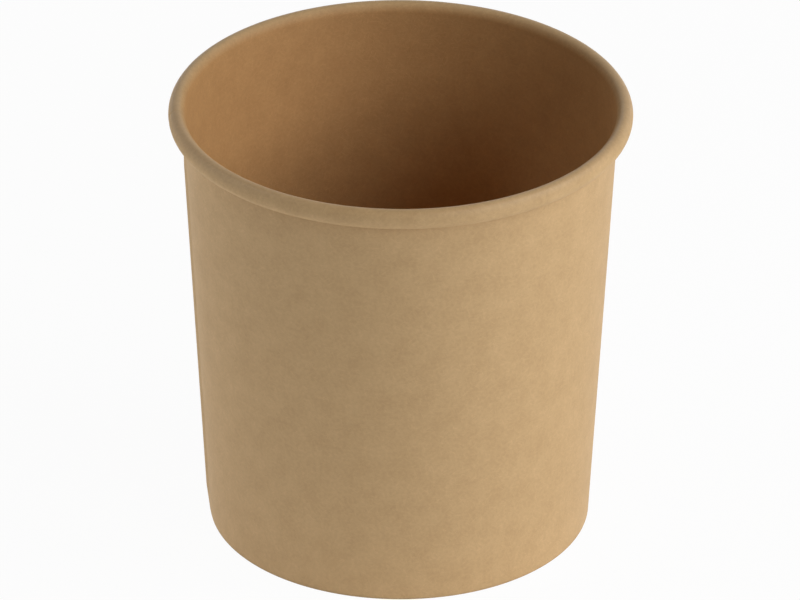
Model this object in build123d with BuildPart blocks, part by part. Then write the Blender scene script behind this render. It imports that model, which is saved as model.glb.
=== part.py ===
"""Disposable soup cup of brown board, open at the top, in millimetres.

The cup is two pieces of board. The sidewall is one sheet: its top edge is curled outwards into a
hollow rolled rim, its ends overlap in a lapped seam up one side, and its bottom edge is folded
inwards and up as a hem. The base disc has a turned-down flange that the hem holds against the wall.
Origin: centre of the standing ring, on the floor. +Z points out of the mouth.
"""

import os
from math import asin, atan2, cos, degrees, hypot, sin, tan

from build123d import *

# Overall sizes
rim_diameter = 98.0  # outside of the rolled rim
cup_height = 97.5  # floor to the top of the rim
base_diameter = 81.3  # outside of the wall at the floor
board = 0.45  # thickness of the lined board

# Rolled rim, an oval of arcs on its outside
rim_width = 3.5
rim_height = 4.3
rim_crown_radius = 1.5
rim_tuck_turn = 50.0  # degrees that the board turns on from the roll's lowest point to its cut edge
hollow_shares = (0.5, 1.0)  # places along each arc where the board's other face, in straight runs, follows it

# Base of the cup
base_recess = 9.0  # floor to the underside of the base disc
hem_height = 8.0
fold_break = 0.2  # the floor fold's rounded corners
bend_break = 0.6  # the base disc's rounded bend
seal_gap = 0.02  # room for the melted lining between two layers of board

# Lapped side seam, on the outside of the wall
seam_bearing = 176.0  # degrees from +X to the lap's cut edge
lap_width = 7.0
lap_ramp_width = 2.2  # the lap's other edge sinks back to the wall over this width
lap_ramp_share = 0.9  # share of the board's thickness that the ramp sinks by
lap_clearance = 0.3  # from the lap's ends to the rim and to the floor fold

# Oval of the rim: a crown arc above and below, a flatter arc on each side
crown_rise = rim_height / 2 - rim_crown_radius
crown_inset = rim_width / 2 - rim_crown_radius
rim_side_radius = ((rim_width / 2) ** 2 + crown_rise**2 - rim_crown_radius**2) / (2 * crown_inset)
rim_side_turn = degrees(atan2(crown_rise, rim_side_radius - rim_width / 2))
rim_mid_height = cup_height - rim_height / 2
rim_side_centre = rim_diameter / 2 - rim_width + rim_side_radius

# The wall leans outwards from the floor, and runs on into the inner side of the oval
foot_radius = base_diameter / 2
to_side_centre = hypot(rim_side_centre - foot_radius, rim_mid_height)
side_bearing = atan2(rim_side_centre - foot_radius, rim_mid_height)
lean_angle = side_bearing - asin((rim_side_radius - board) / to_side_centre)
lean = degrees(lean_angle)
wall_top = rim_mid_height + rim_side_radius * sin(lean_angle)


def wall_point(depth, height):
    """Point at a height, at a depth from the wall's outside, measured square to the wall."""
    return (foot_radius + height * tan(lean_angle) - depth / cos(lean_angle), height)


# Depths of the layers at the foot of the wall: wall, flange of the base disc, hem
flange_outside = board + seal_gap
flange_inside = flange_outside + board
hem_outside = flange_inside + seal_gap
hem_inside = hem_outside + board

# Sidewall: hem, floor fold, wall and rolled rim in one section
with BuildPart() as sidewall:
    with BuildSketch(Plane.XZ):
        with BuildLine():
            inside = Line(wall_point(board, board), wall_point(board, wall_top))
            roll = []
            edge = inside
            for radius, turn in (
                (rim_side_radius, rim_side_turn - lean),
                (rim_crown_radius, 180 - 2 * rim_side_turn),
                (rim_side_radius, 2 * rim_side_turn),
                (rim_crown_radius, 90 - rim_side_turn + rim_tuck_turn),
            ):
                edge = JernArc(edge @ 1, edge % 1, radius, -turn)
                roll.append(edge)
            places = [(roll[0], 0)] + [(arc, share) for arc in roll for share in hollow_shares]
            hollow = [arc @ share + (arc % share).rotate(Axis.Z, -90) * board for arc, share in places]
            Polyline(
                edge @ 1,
                *reversed(hollow),
                wall_point(0, 0),
                wall_point(hem_inside, 0),
                wall_point(hem_inside, hem_height),
                wall_point(hem_outside, hem_height),
                wall_point(hem_outside, board),
                wall_point(board, board),
            )
        make_face()
    revolve(axis=Axis.Z)
    chamfer(sidewall.edges().group_by(Axis.Z)[0], fold_break)

# Lap of the side seam: a second layer on the wall's outside, with one cut edge and one ramped edge
lap_bottom = fold_break + lap_clearance
lap_top = cup_height - rim_height - lap_clearance
lap_arc = degrees((lap_width + lap_ramp_width) / (rim_diameter / 2))

with BuildPart() as lap:
    with BuildSketch(Plane.XZ):
        with BuildLine():
            Polyline(
                wall_point(board / 2, lap_bottom),
                wall_point(-board, lap_bottom),
                wall_point(-board, lap_top),
                wall_point(board / 2, lap_top),
                close=True,
            )
        make_face()
    revolve(axis=Axis.Z, revolution_arc=lap_arc)
    ramp_side = lap.faces().filter_by(GeomType.PLANE).sort_by(Axis.Y)[-1]
    ramp_edge = ramp_side.edges().sort_by(SortBy.LENGTH)[-2:].sort_by(Axis.X)[-1]
    chamfer(ramp_edge, lap_ramp_share * board, lap_ramp_width, reference=ramp_side)

with sidewall:
    add(lap.part, rotation=(0, 0, seam_bearing))

# Base disc: the flange stands in the floor fold, between the hem and the wall
flange_foot = board + seal_gap
disc_top = base_recess + board

with BuildPart() as base_disc:
    with BuildSketch(Plane.XZ):
        with BuildLine():
            Polyline(
                (0, base_recess),
                wall_point(flange_inside, base_recess),
                wall_point(flange_inside, flange_foot),
                wall_point(flange_outside, flange_foot),
                wall_point(flange_outside, disc_top),
                (0, disc_top),
                close=True,
            )
        make_face()
    revolve(axis=Axis.Z)
    chamfer(base_disc.edges().group_by(Axis.Z)[-1], bend_break)

sidewall.part.label = "sidewall"
base_disc.part.label = "base_disc"

os.makedirs("parts", exist_ok=True)
export_step(sidewall.part, "parts/sidewall.step")
export_step(base_disc.part, "parts/base_disc.step")
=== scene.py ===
from math import asin, atan2, ceil, cos, degrees, hypot, pi, radians, sin, tan

import bpy
from mathutils import Euler, Matrix, Vector


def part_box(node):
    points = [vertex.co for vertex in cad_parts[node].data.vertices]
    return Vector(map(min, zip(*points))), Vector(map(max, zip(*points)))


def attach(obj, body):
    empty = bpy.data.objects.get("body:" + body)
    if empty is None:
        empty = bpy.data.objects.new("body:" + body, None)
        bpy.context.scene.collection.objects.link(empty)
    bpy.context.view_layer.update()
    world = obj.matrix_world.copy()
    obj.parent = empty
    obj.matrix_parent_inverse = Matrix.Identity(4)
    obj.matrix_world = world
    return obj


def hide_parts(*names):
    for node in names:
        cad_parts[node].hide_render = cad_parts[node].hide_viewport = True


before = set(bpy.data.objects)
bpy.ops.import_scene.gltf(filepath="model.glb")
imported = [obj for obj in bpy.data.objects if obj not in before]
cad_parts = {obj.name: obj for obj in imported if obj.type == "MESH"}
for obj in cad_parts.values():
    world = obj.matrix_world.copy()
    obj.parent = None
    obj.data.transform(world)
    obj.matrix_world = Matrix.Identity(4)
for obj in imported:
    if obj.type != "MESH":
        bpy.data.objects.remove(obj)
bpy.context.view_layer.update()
scene = bpy.context.scene
scene.view_settings.view_transform = "Standard"


# Sidewall: one sheet of brown board, wrapped into a cone with its two ends lapped and sealed.
# Its top edge is curled outwards into the hollow rim, which shows the board's lined face, and its
# bottom edge is folded in and up as a hem, pressed against the base with a ridged wheel.
wall_high = Vector(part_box("sidewall")[1])
box_margin = 0.00002
rim_radius = wall_high.x - box_margin
cup_height = wall_high.z - box_margin
base_radius = 0.04065
board = 0.00045
seal_gap = 0.00002
layer = board + seal_gap

rim_width = 0.0035
rim_height = 0.0043
rim_crown_radius = 0.0013
rim_tuck_radius = 0.00085
rim_tuck_turn = 160
crown_reach = 0.0025
burnish_reach = 0.003
# How much of the lining's mask, and of the painted shade of the inside that it carries, fades at
# the rim's crown
rim_fade = 0.88

fold_radius = 0.0003
hem_height = 0.008
hem_layers_in = 2
hem_ridges = 104
hem_ridge_depth = 0.00014
hem_ridge_start = 0.0004

seam_bearing = 176
lap_width = 0.007
lap_ramp_width = 0.0022
lap_settling = 0.003
lap_pressing = 0.94
lap_pressing_reach = 0.012

# The rim's oval and the wall's lean, on the board's centre line
oval_half_width = (rim_width - board) / 2
oval_half_height = (rim_height - board) / 2
crown_rise = oval_half_height - rim_crown_radius
rim_side_radius = (oval_half_width**2 + crown_rise**2 - rim_crown_radius**2) / (
    2 * (oval_half_width - rim_crown_radius)
)
rim_side_turn = degrees(atan2(crown_rise, rim_side_radius - oval_half_width))
rim_mid_height = cup_height - rim_height / 2
rim_side_centre = rim_radius - rim_width + board / 2 + rim_side_radius
foot_radius = base_radius - board / 2
to_rim_side = hypot(rim_side_centre - foot_radius, rim_mid_height)
rim_side_bearing = atan2(rim_side_centre - foot_radius, rim_mid_height)
lean_angle = rim_side_bearing - asin(rim_side_radius / to_rim_side)
lean = degrees(lean_angle)


def line_radius(height, layers_in=0):
    """Radius of the wall's centre line at a height, or of a layer that lies inside the wall."""
    return foot_radius + height * tan(lean_angle) - layers_in * layer / cos(lean_angle)


def draw_section(name, start, heading, steps):
    """Points along a sheet's runs and bends, each with the way that its outer face looks."""
    degrees_a_point = 10
    point, bearing, along = Vector((start[0], 0, start[1])), radians(heading), 0.0
    rows = [(point.copy(), bearing, along)]
    for step in steps:
        if "run" in step:
            for _ in range(step["points"]):
                part = step["run"] / step["points"]
                point = point + part * Vector((cos(bearing), 0, sin(bearing)))
                along += part
                rows.append((point.copy(), bearing, along))
        else:
            points = max(2, ceil(abs(step["turn"]) / degrees_a_point))
            part = radians(step["turn"]) / points
            chord = 2 * step["radius"] * sin(abs(part) / 2)
            for _ in range(points):
                middle = bearing + part / 2
                point = point + chord * Vector((cos(middle), 0, sin(middle)))
                bearing += part
                along += step["radius"] * abs(part)
                rows.append((point.copy(), bearing, along))
    mesh = bpy.data.meshes.new(name)
    mesh.from_pydata([row[0] for row in rows], [(i, i + 1) for i in range(len(rows) - 1)], [])
    mesh.attributes.new("outward", "FLOAT_VECTOR", "POINT")
    mesh.attributes.new("along", "FLOAT", "POINT")
    for i, (_, way, reach) in enumerate(rows):
        mesh.attributes["outward"].data[i].vector = (sin(way), 0, -cos(way))
        mesh.attributes["along"].data[i].value = reach
    return mesh


class Socket:
    """An output in a node tree. Sums and products of sockets add Math nodes to the tree."""

    def __init__(self, tree, output):
        self.tree = tree
        self.output = output

    def node(self, kind, settings=None, sockets=None, output=0):
        """Adds a node, sets it up, fills or links its sockets, and gives one of its outputs."""
        made = self.tree.nodes.new(kind)
        for setting, value in (settings or {}).items():
            setattr(made, setting, value)
        for key, value in (sockets or {}).items():
            shown = [s for s in made.inputs if s.enabled]
            target = shown[key] if isinstance(key, int) else next(s for s in shown if s.name == key)
            for item in value if isinstance(value, list) else [value]:
                if isinstance(item, Socket):
                    self.tree.links.new(item.output, target)
                else:
                    target.default_value = item
        shown = [s for s in made.outputs if s.enabled and output in (s.name, 0)]
        return Socket(self.tree, shown[0]) if shown else None

    def math(self, operation, *others):
        values = dict(enumerate((self, *others)))
        return self.node("ShaderNodeMath", {"operation": operation}, values)

    def __add__(self, other):
        return self.math("ADD", other)

    def __radd__(self, other):
        return self.math("ADD", other)

    def __sub__(self, other):
        return self.math("SUBTRACT", other)

    def __rsub__(self, other):
        return self.node("ShaderNodeMath", {"operation": "SUBTRACT"}, {0: other, 1: self})

    def __mul__(self, other):
        return self.math("MULTIPLY", other)

    def __rmul__(self, other):
        return self.math("MULTIPLY", other)

    def __truediv__(self, other):
        return self.math("DIVIDE", other)

    def __rtruediv__(self, other):
        return self.node("ShaderNodeMath", {"operation": "DIVIDE"}, {0: other, 1: self})

    def smooth(self, low, high):
        """Rises smoothly from 0 to 1 between two values."""
        return self.node(
            "ShaderNodeMapRange",
            {"interpolation_type": "SMOOTHSTEP"},
            {"Value": self, "From Min": low, "From Max": high},
        )


# The tree that wraps a section round the cup's axis and gives the sheet its thickness
wrap_inputs = {
    "Section": "NodeSocketGeometry",
    "Columns": "NodeSocketInt",
    "Start": "NodeSocketFloat",
    "Wrap": "NodeSocketFloat",
    "Board": "NodeSocketFloat",
    "Lap": "NodeSocketFloat",
    "Lap Ramp": "NodeSocketFloat",
    "Layer": "NodeSocketFloat",
    "Fold": "NodeSocketFloat",
    "Settling": "NodeSocketFloat",
    "Ridges": "NodeSocketFloat",
    "Ridge Depth": "NodeSocketFloat",
    "Ridge Start": "NodeSocketFloat",
    "Ridge End": "NodeSocketFloat",
    "Grain Radius": "NodeSocketFloat",
    "Flat Grain": "NodeSocketFloat",
    "Rim Start": "NodeSocketFloat",
    "Rim Curl": "NodeSocketFloat",
    "Rim Fade": "NodeSocketFloat",
    "Burnish Reach": "NodeSocketFloat",
    "Rim Pressing": "NodeSocketFloat",
    "Pressing Reach": "NodeSocketFloat",
    "Finish": "NodeSocketMaterial",
}
wrap_tree = bpy.data.node_groups.new("wrap_board", "GeometryNodeTree")
for label, kind in wrap_inputs.items():
    wrap_tree.interface.new_socket(label, in_out="INPUT", socket_type=kind)
wrap_tree.interface.new_socket("Sheet", in_out="OUTPUT", socket_type="NodeSocketGeometry")
entry = wrap_tree.nodes.new("NodeGroupInput")
given = {label: Socket(wrap_tree, entry.outputs[label]) for label in wrap_inputs}
section = given["Section"]

rows = section.node("GeometryNodeAttributeDomainSize", {"component": "MESH"}, {"Geometry": section})
sheet = section.node(
    "GeometryNodeMeshGrid",
    {},
    {"Size X": 1.0, "Size Y": 1.0, "Vertices X": given["Columns"], "Vertices Y": rows},
)
index = section.node("GeometryNodeInputIndex")
row = index.math("MODULO", rows)
column = (index / rows).math("FLOOR")


def of_row(kind, value):
    """The section's value at this row of the sheet."""
    return section.node(
        "GeometryNodeSampleIndex",
        {"data_type": kind, "domain": "POINT"},
        {"Geometry": section, "Value": value, "Index": row},
    )


def named(kind, label):
    """A value that is kept on the points under a name."""
    return section.node("GeometryNodeInputNamedAttribute", {"data_type": kind}, {"Name": label})


place = of_row("FLOAT_VECTOR", section.node("GeometryNodeInputPosition"))
way = of_row("FLOAT_VECTOR", named("FLOAT_VECTOR", "outward"))
along = of_row("FLOAT", named("FLOAT", "along"))
turned = column / (given["Columns"] - 1.0) * given["Wrap"]
bearing = turned + given["Start"]


def wrapped(value):
    """Turns a vector of the section to its bearing round the axis."""
    axis = {"rotation_type": "Z_AXIS"}
    return section.node("ShaderNodeVectorRotate", axis, {"Vector": value, "Angle": bearing})


def stored(geometry, kind, domain, label, value):
    """The geometry with a value kept on it under a name."""
    return section.node(
        "GeometryNodeStoreNamedAttribute",
        {"data_type": kind, "domain": domain},
        {"Geometry": geometry, "Name": label, "Value": value},
    )


# The sheet's first end lies on its last one. At the floor fold the last end gives way instead, and
# towards the rim it is pressed thin.
on_top = 1.0 - turned.smooth(given["Lap"], given["Lap"] + given["Lap Ramp"])
past_full_turn = 2 * pi + 1e-4
beneath = turned.math("GREATER_THAN", past_full_turn)
from_fold = (along - given["Fold"]).math("ABSOLUTE")
lifted = from_fold.smooth(0.0, given["Settling"])
near_rim = along.smooth(given["Rim Start"] - given["Pressing Reach"], given["Rim Start"])
pressed = near_rim * given["Rim Pressing"]
lap_shift = (on_top * lifted * (1.0 - pressed) - beneath * (1.0 - lifted)) * given["Layer"]
thickness = (1.0 - beneath * pressed) * given["Board"]

# Upright ridges of the pressing wheel on the hem
ridge_rise_share = 0.2
ridge_full_share = 0.75
ridge_rise_end = given["Ridge Start"] + given["Ridge End"] * ridge_rise_share
ridge_full_end = given["Ridge End"] * ridge_full_share
ridge_reach = along.smooth(given["Ridge Start"], ridge_rise_end)
ridge_reach = ridge_reach * (1.0 - along.smooth(ridge_full_end, given["Ridge End"]))
ridge_wave = (bearing * given["Ridges"]).math("COSINE") * 0.5 - 0.5
shift = lap_shift + ridge_wave * ridge_reach * given["Ridge Depth"] - given["Board"] / 2.0

# Each point moves off the section's line, and its place along the sheet becomes the grain's map
moved = section.node(
    "ShaderNodeVectorMath",
    {"operation": "SCALE"},
    {"Vector": way, "Scale": shift},
)
moved = section.node("ShaderNodeVectorMath", {"operation": "ADD"}, {0: place, 1: moved})
wrapped_grain = section.node(
    "ShaderNodeCombineXYZ",
    {},
    {"X": turned * given["Grain Radius"], "Y": along},
)
grain = section.node(
    "ShaderNodeMix",
    {"data_type": "VECTOR"},
    {"Factor": given["Flat Grain"], "A": wrapped_grain, "B": wrapped(place)},
)
on_points = {"data_type": "FLOAT_VECTOR", "domain": "POINT"}
grain = section.node("GeometryNodeFieldOnDomain", on_points, {"Value": grain})
sheet = section.node("GeometryNodeSetPosition", {}, {"Geometry": sheet, "Position": wrapped(moved)})
sheet = stored(sheet, "FLOAT_VECTOR", "POINT", "outward", wrapped(way))
sheet = stored(sheet, "FLOAT2", "CORNER", "UVMap", grain)

# The lining's mask, which also carries the painted shade of the inside, fades up to the rim's crown
# and is gone on the rim's outer side
crown_along = given["Rim Start"] + given["Rim Curl"]
on_rim = along.smooth(given["Rim Start"], crown_along)
past_crown = along.smooth(crown_along, crown_along + given["Burnish Reach"])
lining = (1.0 - on_rim * given["Rim Fade"]) * (1.0 - past_crown)
sheet = stored(sheet, "FLOAT", "POINT", "lining", lining)
sheet = stored(sheet, "FLOAT", "POINT", "thickness", thickness)
weld_distance = 1e-6
sheet = section.node(
    "GeometryNodeMergeByDistance",
    {},
    {"Geometry": sheet, "Distance": weld_distance},
)

# Thickness: the outer face is drawn off the lined one, and the cut edges close between them
outer = section.node(
    "GeometryNodeExtrudeMesh",
    {"mode": "FACES"},
    {
        "Mesh": sheet,
        "Offset": named("FLOAT_VECTOR", "outward"),
        "Offset Scale": named("FLOAT", "thickness"),
        "Individual": False,
    },
)
outer = stored(outer, "FLOAT", "POINT", "lined", 0.0)
inner = section.node("GeometryNodeFlipFaces", {}, {"Mesh": sheet})
inner = stored(inner, "FLOAT", "POINT", "lined", named("FLOAT", "lining"))
whole = section.node("GeometryNodeJoinGeometry", {}, {"Geometry": [outer, inner]})
whole = section.node(
    "GeometryNodeMergeByDistance",
    {},
    {"Geometry": whole, "Distance": weld_distance},
)
whole = section.node("GeometryNodeSetShadeSmooth", {}, {"Geometry": whole})
whole = section.node("GeometryNodeRealizeInstances", {}, {"Geometry": whole})
whole = section.node(
    "GeometryNodeSetMaterial",
    {},
    {"Geometry": whole, "Material": given["Finish"]},
)
leave = wrap_tree.nodes.new("NodeGroupOutput")
wrap_tree.links.new(whole.output, leave.inputs["Sheet"])


def wrap_board(name, line, sizes):
    """Wraps a section into a sheet of board, and gives it back as a plain mesh."""
    crease_angle = 40
    piece = bpy.data.objects.new(name, line)
    scene.collection.objects.link(piece)
    wrap = piece.modifiers.new("wrap", "NODES")
    wrap.node_group = wrap_tree
    for item in wrap_tree.interface.items_tree:
        if item.in_out == "INPUT" and item.name in sizes:
            wrap[item.identifier] = sizes[item.name]
    depsgraph = bpy.context.evaluated_depsgraph_get()
    mesh = bpy.data.meshes.new_from_object(piece.evaluated_get(depsgraph), depsgraph=depsgraph)
    piece.modifiers.remove(wrap)
    piece.data = mesh
    mesh.name = name
    mesh.set_sharp_from_angle(angle=radians(crease_angle))
    return piece


def board_finish():
    """Brown board: fibres in two tones with faint clouds, and a deeper tint on the lined face that
    is painted shade for part of the cup's inside.
    """
    pale_fibre = (0.655, 0.446, 0.23)
    dark_fibre = (0.475, 0.306, 0.144)
    # The lined face's tint is painted shade: it darkens the inside of the cup in part
    lined_shade_tint = (0.94, 0.78, 0.62)
    cloud_size = 0.0055
    grain_size = 0.0008
    fibre_length = 0.0028
    fibre_width = 0.0003
    fibre_turns = (3, 34, -38, 71)
    fibre_edge = (0.6, 0.82)
    noise_roughness = 0.6
    mean_tone, cloud_tone, grain_tone, fibre_tone = 0.41, 0.62, 0.6, 0.2
    mean_rough, grain_rough, burnish = 0.7, 0.2, 0.25
    burnish_rise = (0.0, 0.1)
    burnish_fall = (0.13, 0.45)
    fibre_relief = 0.4
    relief_strength = 0.5
    relief_depth = 0.00006
    shine = 0.36

    finish = bpy.data.materials.new("brown_board")
    finish.use_nodes = True
    tree = finish.node_tree
    tree.nodes.clear()
    start = Socket(tree, None)
    grain_map = start.node("ShaderNodeUVMap", {"uv_map": "UVMap"})

    def stretched(turn, stretch):
        """The board's own coordinates, turned and then drawn out."""
        rotation = (0, 0, radians(turn))
        laid = start.node("ShaderNodeMapping", {}, {"Vector": grain_map, "Rotation": rotation})
        return start.node("ShaderNodeMapping", {}, {"Vector": laid, "Scale": stretch})

    def noise(size, detail, turn=0, stretch=(1, 1, 1)):
        """Noise with features of a size in metres."""
        return start.node(
            "ShaderNodeTexNoise",
            {"noise_dimensions": "2D"},
            {
                "Vector": stretched(turn, stretch),
                "Scale": 1 / size,
                "Detail": detail,
                "Roughness": noise_roughness,
            },
        )

    cloud = noise(cloud_size, detail=4)
    grain = noise(grain_size, detail=3)
    slim = (fibre_width / fibre_length, 1, 1)
    fibres = [noise(fibre_width, detail=1, turn=turn, stretch=slim) for turn in fibre_turns]
    strands = fibres[0]
    for more in fibres[1:]:
        strands = strands.math("MAXIMUM", more)
    strands = strands.smooth(*fibre_edge)
    tone = mean_tone + (cloud - 0.5) * cloud_tone + (grain - 0.5) * grain_tone
    tone = tone + strands * fibre_tone
    colour = start.node(
        "ShaderNodeMix",
        {"data_type": "RGBA"},
        {"Factor": tone, "A": (*dark_fibre, 1), "B": (*pale_fibre, 1)},
    )
    lined = start.node("ShaderNodeAttribute", {"attribute_name": "lined"}, {}, "Fac")
    # Painted shade: the lined face is multiplied by a deeper tint, which stands in for part of the
    # shade inside the cup
    colour = start.node(
        "ShaderNodeMix",
        {"data_type": "RGBA", "blend_type": "MULTIPLY"},
        {"Factor": lined, "A": colour, "B": (*lined_shade_tint, 1)},
    )
    # The curling tool burnishes the rim's crown, where the lining is thin but not gone
    burnished = lined.smooth(*burnish_rise) * (1.0 - lined.smooth(*burnish_fall))
    rough = mean_rough + (grain - 0.5) * grain_rough - burnished * burnish
    height = grain * (1 - fibre_relief) + strands * fibre_relief
    relief = start.node(
        "ShaderNodeBump",
        {},
        {"Strength": relief_strength, "Distance": relief_depth, "Height": height},
    )
    surface = start.node(
        "ShaderNodeBsdfPrincipled",
        {},
        {"Base Color": colour, "Roughness": rough, "Normal": relief, "Specular IOR Level": shine},
    )
    start.node("ShaderNodeOutputMaterial", {}, {"Surface": surface})
    return finish


brown_board = board_finish()

fold_mid_height = board / 2 + box_margin
hem_turn = 90 + lean
wall_turn = 90 - lean
hem_setback = fold_radius * tan(radians(hem_turn / 2))
wall_setback = fold_radius * tan(radians(wall_turn / 2))
hem_run = (hem_height - fold_mid_height) / cos(lean_angle) - hem_setback
fold_span = line_radius(fold_mid_height) - line_radius(fold_mid_height, hem_layers_in)
fold_run = fold_span - hem_setback - wall_setback
wall_top = rim_mid_height + rim_side_radius * sin(lean_angle)
wall_run = (wall_top - fold_mid_height) / cos(lean_angle) - wall_setback

wall_section = draw_section(
    "sidewall_section",
    start=(line_radius(hem_height, hem_layers_in), hem_height),
    heading=-90 - lean,
    steps=[
        {"run": hem_run, "points": 10},
        {"radius": fold_radius, "turn": hem_turn},
        {"run": fold_run, "points": 1},
        {"radius": fold_radius, "turn": wall_turn},
        {"run": wall_run, "points": 16},
        {"radius": rim_side_radius, "turn": lean - rim_side_turn},
        {"radius": rim_crown_radius, "turn": 2 * rim_side_turn - 180},
        {"radius": rim_side_radius, "turn": -2 * rim_side_turn},
        {"radius": rim_crown_radius, "turn": rim_side_turn - 90},
        {"radius": rim_tuck_radius, "turn": -rim_tuck_turn},
    ],
)
fold_along = hem_run + fold_radius * radians(hem_turn) + fold_run / 2
rim_along = fold_along + fold_run / 2 + fold_radius * radians(wall_turn) + wall_run
lap_angle = lap_width / rim_radius
wall_columns = 521
sidewall = wrap_board(
    "sidewall_board",
    wall_section,
    {
        "Columns": wall_columns,
        "Start": radians(seam_bearing),
        "Wrap": 2 * pi + lap_angle,
        "Board": board,
        "Lap": lap_angle,
        "Lap Ramp": lap_ramp_width / rim_radius,
        "Layer": layer,
        "Fold": fold_along,
        "Settling": lap_settling,
        "Ridges": hem_ridges,
        "Ridge Depth": hem_ridge_depth,
        "Ridge Start": hem_ridge_start,
        "Ridge End": hem_run,
        "Grain Radius": (rim_radius + base_radius) / 2,
        "Rim Start": rim_along,
        "Rim Curl": crown_reach,
        "Rim Fade": rim_fade,
        "Burnish Reach": burnish_reach,
        "Rim Pressing": lap_pressing,
        "Pressing Reach": lap_pressing_reach,
        "Finish": brown_board,
    },
)
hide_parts("sidewall")
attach(sidewall, "root")


# Base disc: a round blank of the same board, pressed into a shallow tray.
# Its flange is turned down and sealed between the wall and the hem.
base_recess = 0.009
base_bend_radius = 0.0008
disc_layers_in = 1
disc_columns = 241
flange_foot = board + fold_radius
disc_mid_height = base_recess + board / 2
disc_turn = 90 + lean
disc_setback = base_bend_radius * tan(radians(disc_turn / 2))
flange_run = (disc_mid_height - flange_foot) / cos(lean_angle) - disc_setback
disc_run = line_radius(disc_mid_height, disc_layers_in) - disc_setback

base_section = draw_section(
    "base_disc_section",
    start=(0, disc_mid_height),
    heading=0,
    steps=[
        {"run": disc_run, "points": 24},
        {"radius": base_bend_radius, "turn": -disc_turn},
        {"run": flange_run, "points": 4},
    ],
)
# The disc has no lap, ridges or rim: those inputs stay at zero, and the rim's start lies beyond it
beyond_disc = 1.0
base_disc = wrap_board(
    "base_disc_board",
    base_section,
    {
        "Columns": disc_columns,
        "Wrap": 2 * pi,
        "Board": board,
        "Rim Start": beyond_disc,
        "Flat Grain": 1.0,
        "Finish": brown_board,
    },
)
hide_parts("base_disc")
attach(base_disc, "root")


# Floor: a plain white table top, which takes the cup's soft shadow.
# Seen from below it is clear, so that the underside of the cup shows.
floor_radius = 6.0
floor_corners = 64
floor_grey = 0.92
floor_whiteness = 0.96
floor_mesh = bpy.data.meshes.new("floor")
corner_turns = [i * 2 * pi / floor_corners for i in range(floor_corners)]
floor_mesh.from_pydata(
    [(floor_radius * cos(turn), floor_radius * sin(turn), 0) for turn in corner_turns],
    [],
    [list(range(floor_corners))],
)
floor = bpy.data.objects.new("floor", floor_mesh)
scene.collection.objects.link(floor)
white_table = bpy.data.materials.new("white_table")
white_table.use_nodes = True
white_table.node_tree.nodes.clear()
table = Socket(white_table.node_tree, None)


def white_seen(start):
    """1 where a surface is seen, straight or in a shine, and 0 for the light that it sends out."""
    straight = start.node("ShaderNodeLightPath", {}, {}, "Is Camera Ray")
    mirrored = start.node("ShaderNodeLightPath", {}, {}, "Is Glossy Ray")
    through = start.node("ShaderNodeLightPath", {}, {}, "Is Transmission Ray")
    return straight.math("MAXIMUM", mirrored).math("MAXIMUM", through)


matte = table.node("ShaderNodeBsdfDiffuse", {}, {"Color": (floor_grey, floor_grey, floor_grey, 1)})
white = table.node("ShaderNodeEmission", {}, {"Color": (1, 1, 1, 1), "Strength": 1.0})
seen = white_seen(table) * floor_whiteness
top = table.node("ShaderNodeMixShader", {}, {0: seen, 1: matte, 2: white})
clear = table.node("ShaderNodeBsdfTransparent")
below = table.node("ShaderNodeNewGeometry", {}, {}, "Backfacing")
top = table.node("ShaderNodeMixShader", {}, {0: below, 1: top, 2: clear})
table.node("ShaderNodeOutputMaterial", {}, {"Surface": top})
floor_mesh.materials.append(white_table)


# Light: soft boxes on the right and at the right front, a low strip and a weak high box on the
# left, and a glowing table that lifts the foot of the wall and the underside of the rim. The
# room itself is dim.
def soft_box(name, bearing, elevation, width, height, power, distance=1.2):
    """A lamp that looks at the middle of the cup from a bearing and an elevation."""
    aim = Vector((0, 0, cup_height / 2))
    side, rise = radians(bearing), radians(elevation)
    stand = aim + distance * Vector((sin(side) * cos(rise), -cos(side) * cos(rise), sin(rise)))
    lamp = bpy.data.lights.new(name, "AREA")
    lamp.shape = "RECTANGLE"
    lamp.size = width
    lamp.size_y = height
    lamp.energy = power
    holder = bpy.data.objects.new(name, lamp)
    holder.matrix_world = Matrix.LocRotScale(stand, (aim - stand).to_track_quat("-Z", "Y"), None)
    holder.visible_camera = False
    scene.collection.objects.link(holder)


soft_box("right_low_box", bearing=62, elevation=8, width=0.8, height=0.8, power=2.4)
soft_box("right_high_box", bearing=83, elevation=37, width=0.7, height=0.7, power=6.2)
soft_box("front_box", bearing=42, elevation=28, width=0.5, height=0.5, power=4.0)
soft_box("left_strip", bearing=-92, elevation=0.6, width=0.8, height=0.12, power=3.2)
soft_box("left_high_box", bearing=-95, elevation=43, width=0.5, height=0.5, power=2.1)
table_gap = 0.0003
glow_depth = cup_height / 2 - table_gap
soft_box(
    "table_glow", bearing=0, elevation=-90, width=0.6, height=0.6, power=0.33, distance=glow_depth
)

room = bpy.data.worlds.new("white_room")
scene.world = room
room.use_nodes = True
room.node_tree.nodes.clear()
sky = Socket(room.node_tree, None)
room_light = 0.01
level = room_light + (1 - room_light) * white_seen(sky)
backdrop = sky.node("ShaderNodeBackground", {}, {"Color": (1, 1, 1, 1), "Strength": level})
sky.node("ShaderNodeOutputWorld", {}, {"Surface": backdrop})


# Camera: a long lens from the front, well above the rim, so that the cup fills the frame.
# It is rolled by a fraction of a degree.
camera_lens = 450
camera_elevation = 28.899
camera_distance = 2.1285
camera_roll = 0.225
camera_target = Vector((0, 0, 0.05016))
lens = bpy.data.cameras.new("camera")
lens.lens = camera_lens
lens.sensor_width = 36
lens.clip_end = 50
camera = bpy.data.objects.new("camera", lens)
rise = radians(camera_elevation)
camera_stand = camera_target + camera_distance * Vector((0, -cos(rise), sin(rise)))
camera_tilt = Euler((pi / 2 - rise, 0, 0)).to_matrix()
camera_turn = camera_tilt @ Matrix.Rotation(radians(camera_roll), 3, "Z")
camera.matrix_world = Matrix.LocRotScale(camera_stand, camera_turn.to_quaternion(), None)
scene.collection.objects.link(camera)
scene.camera = camera
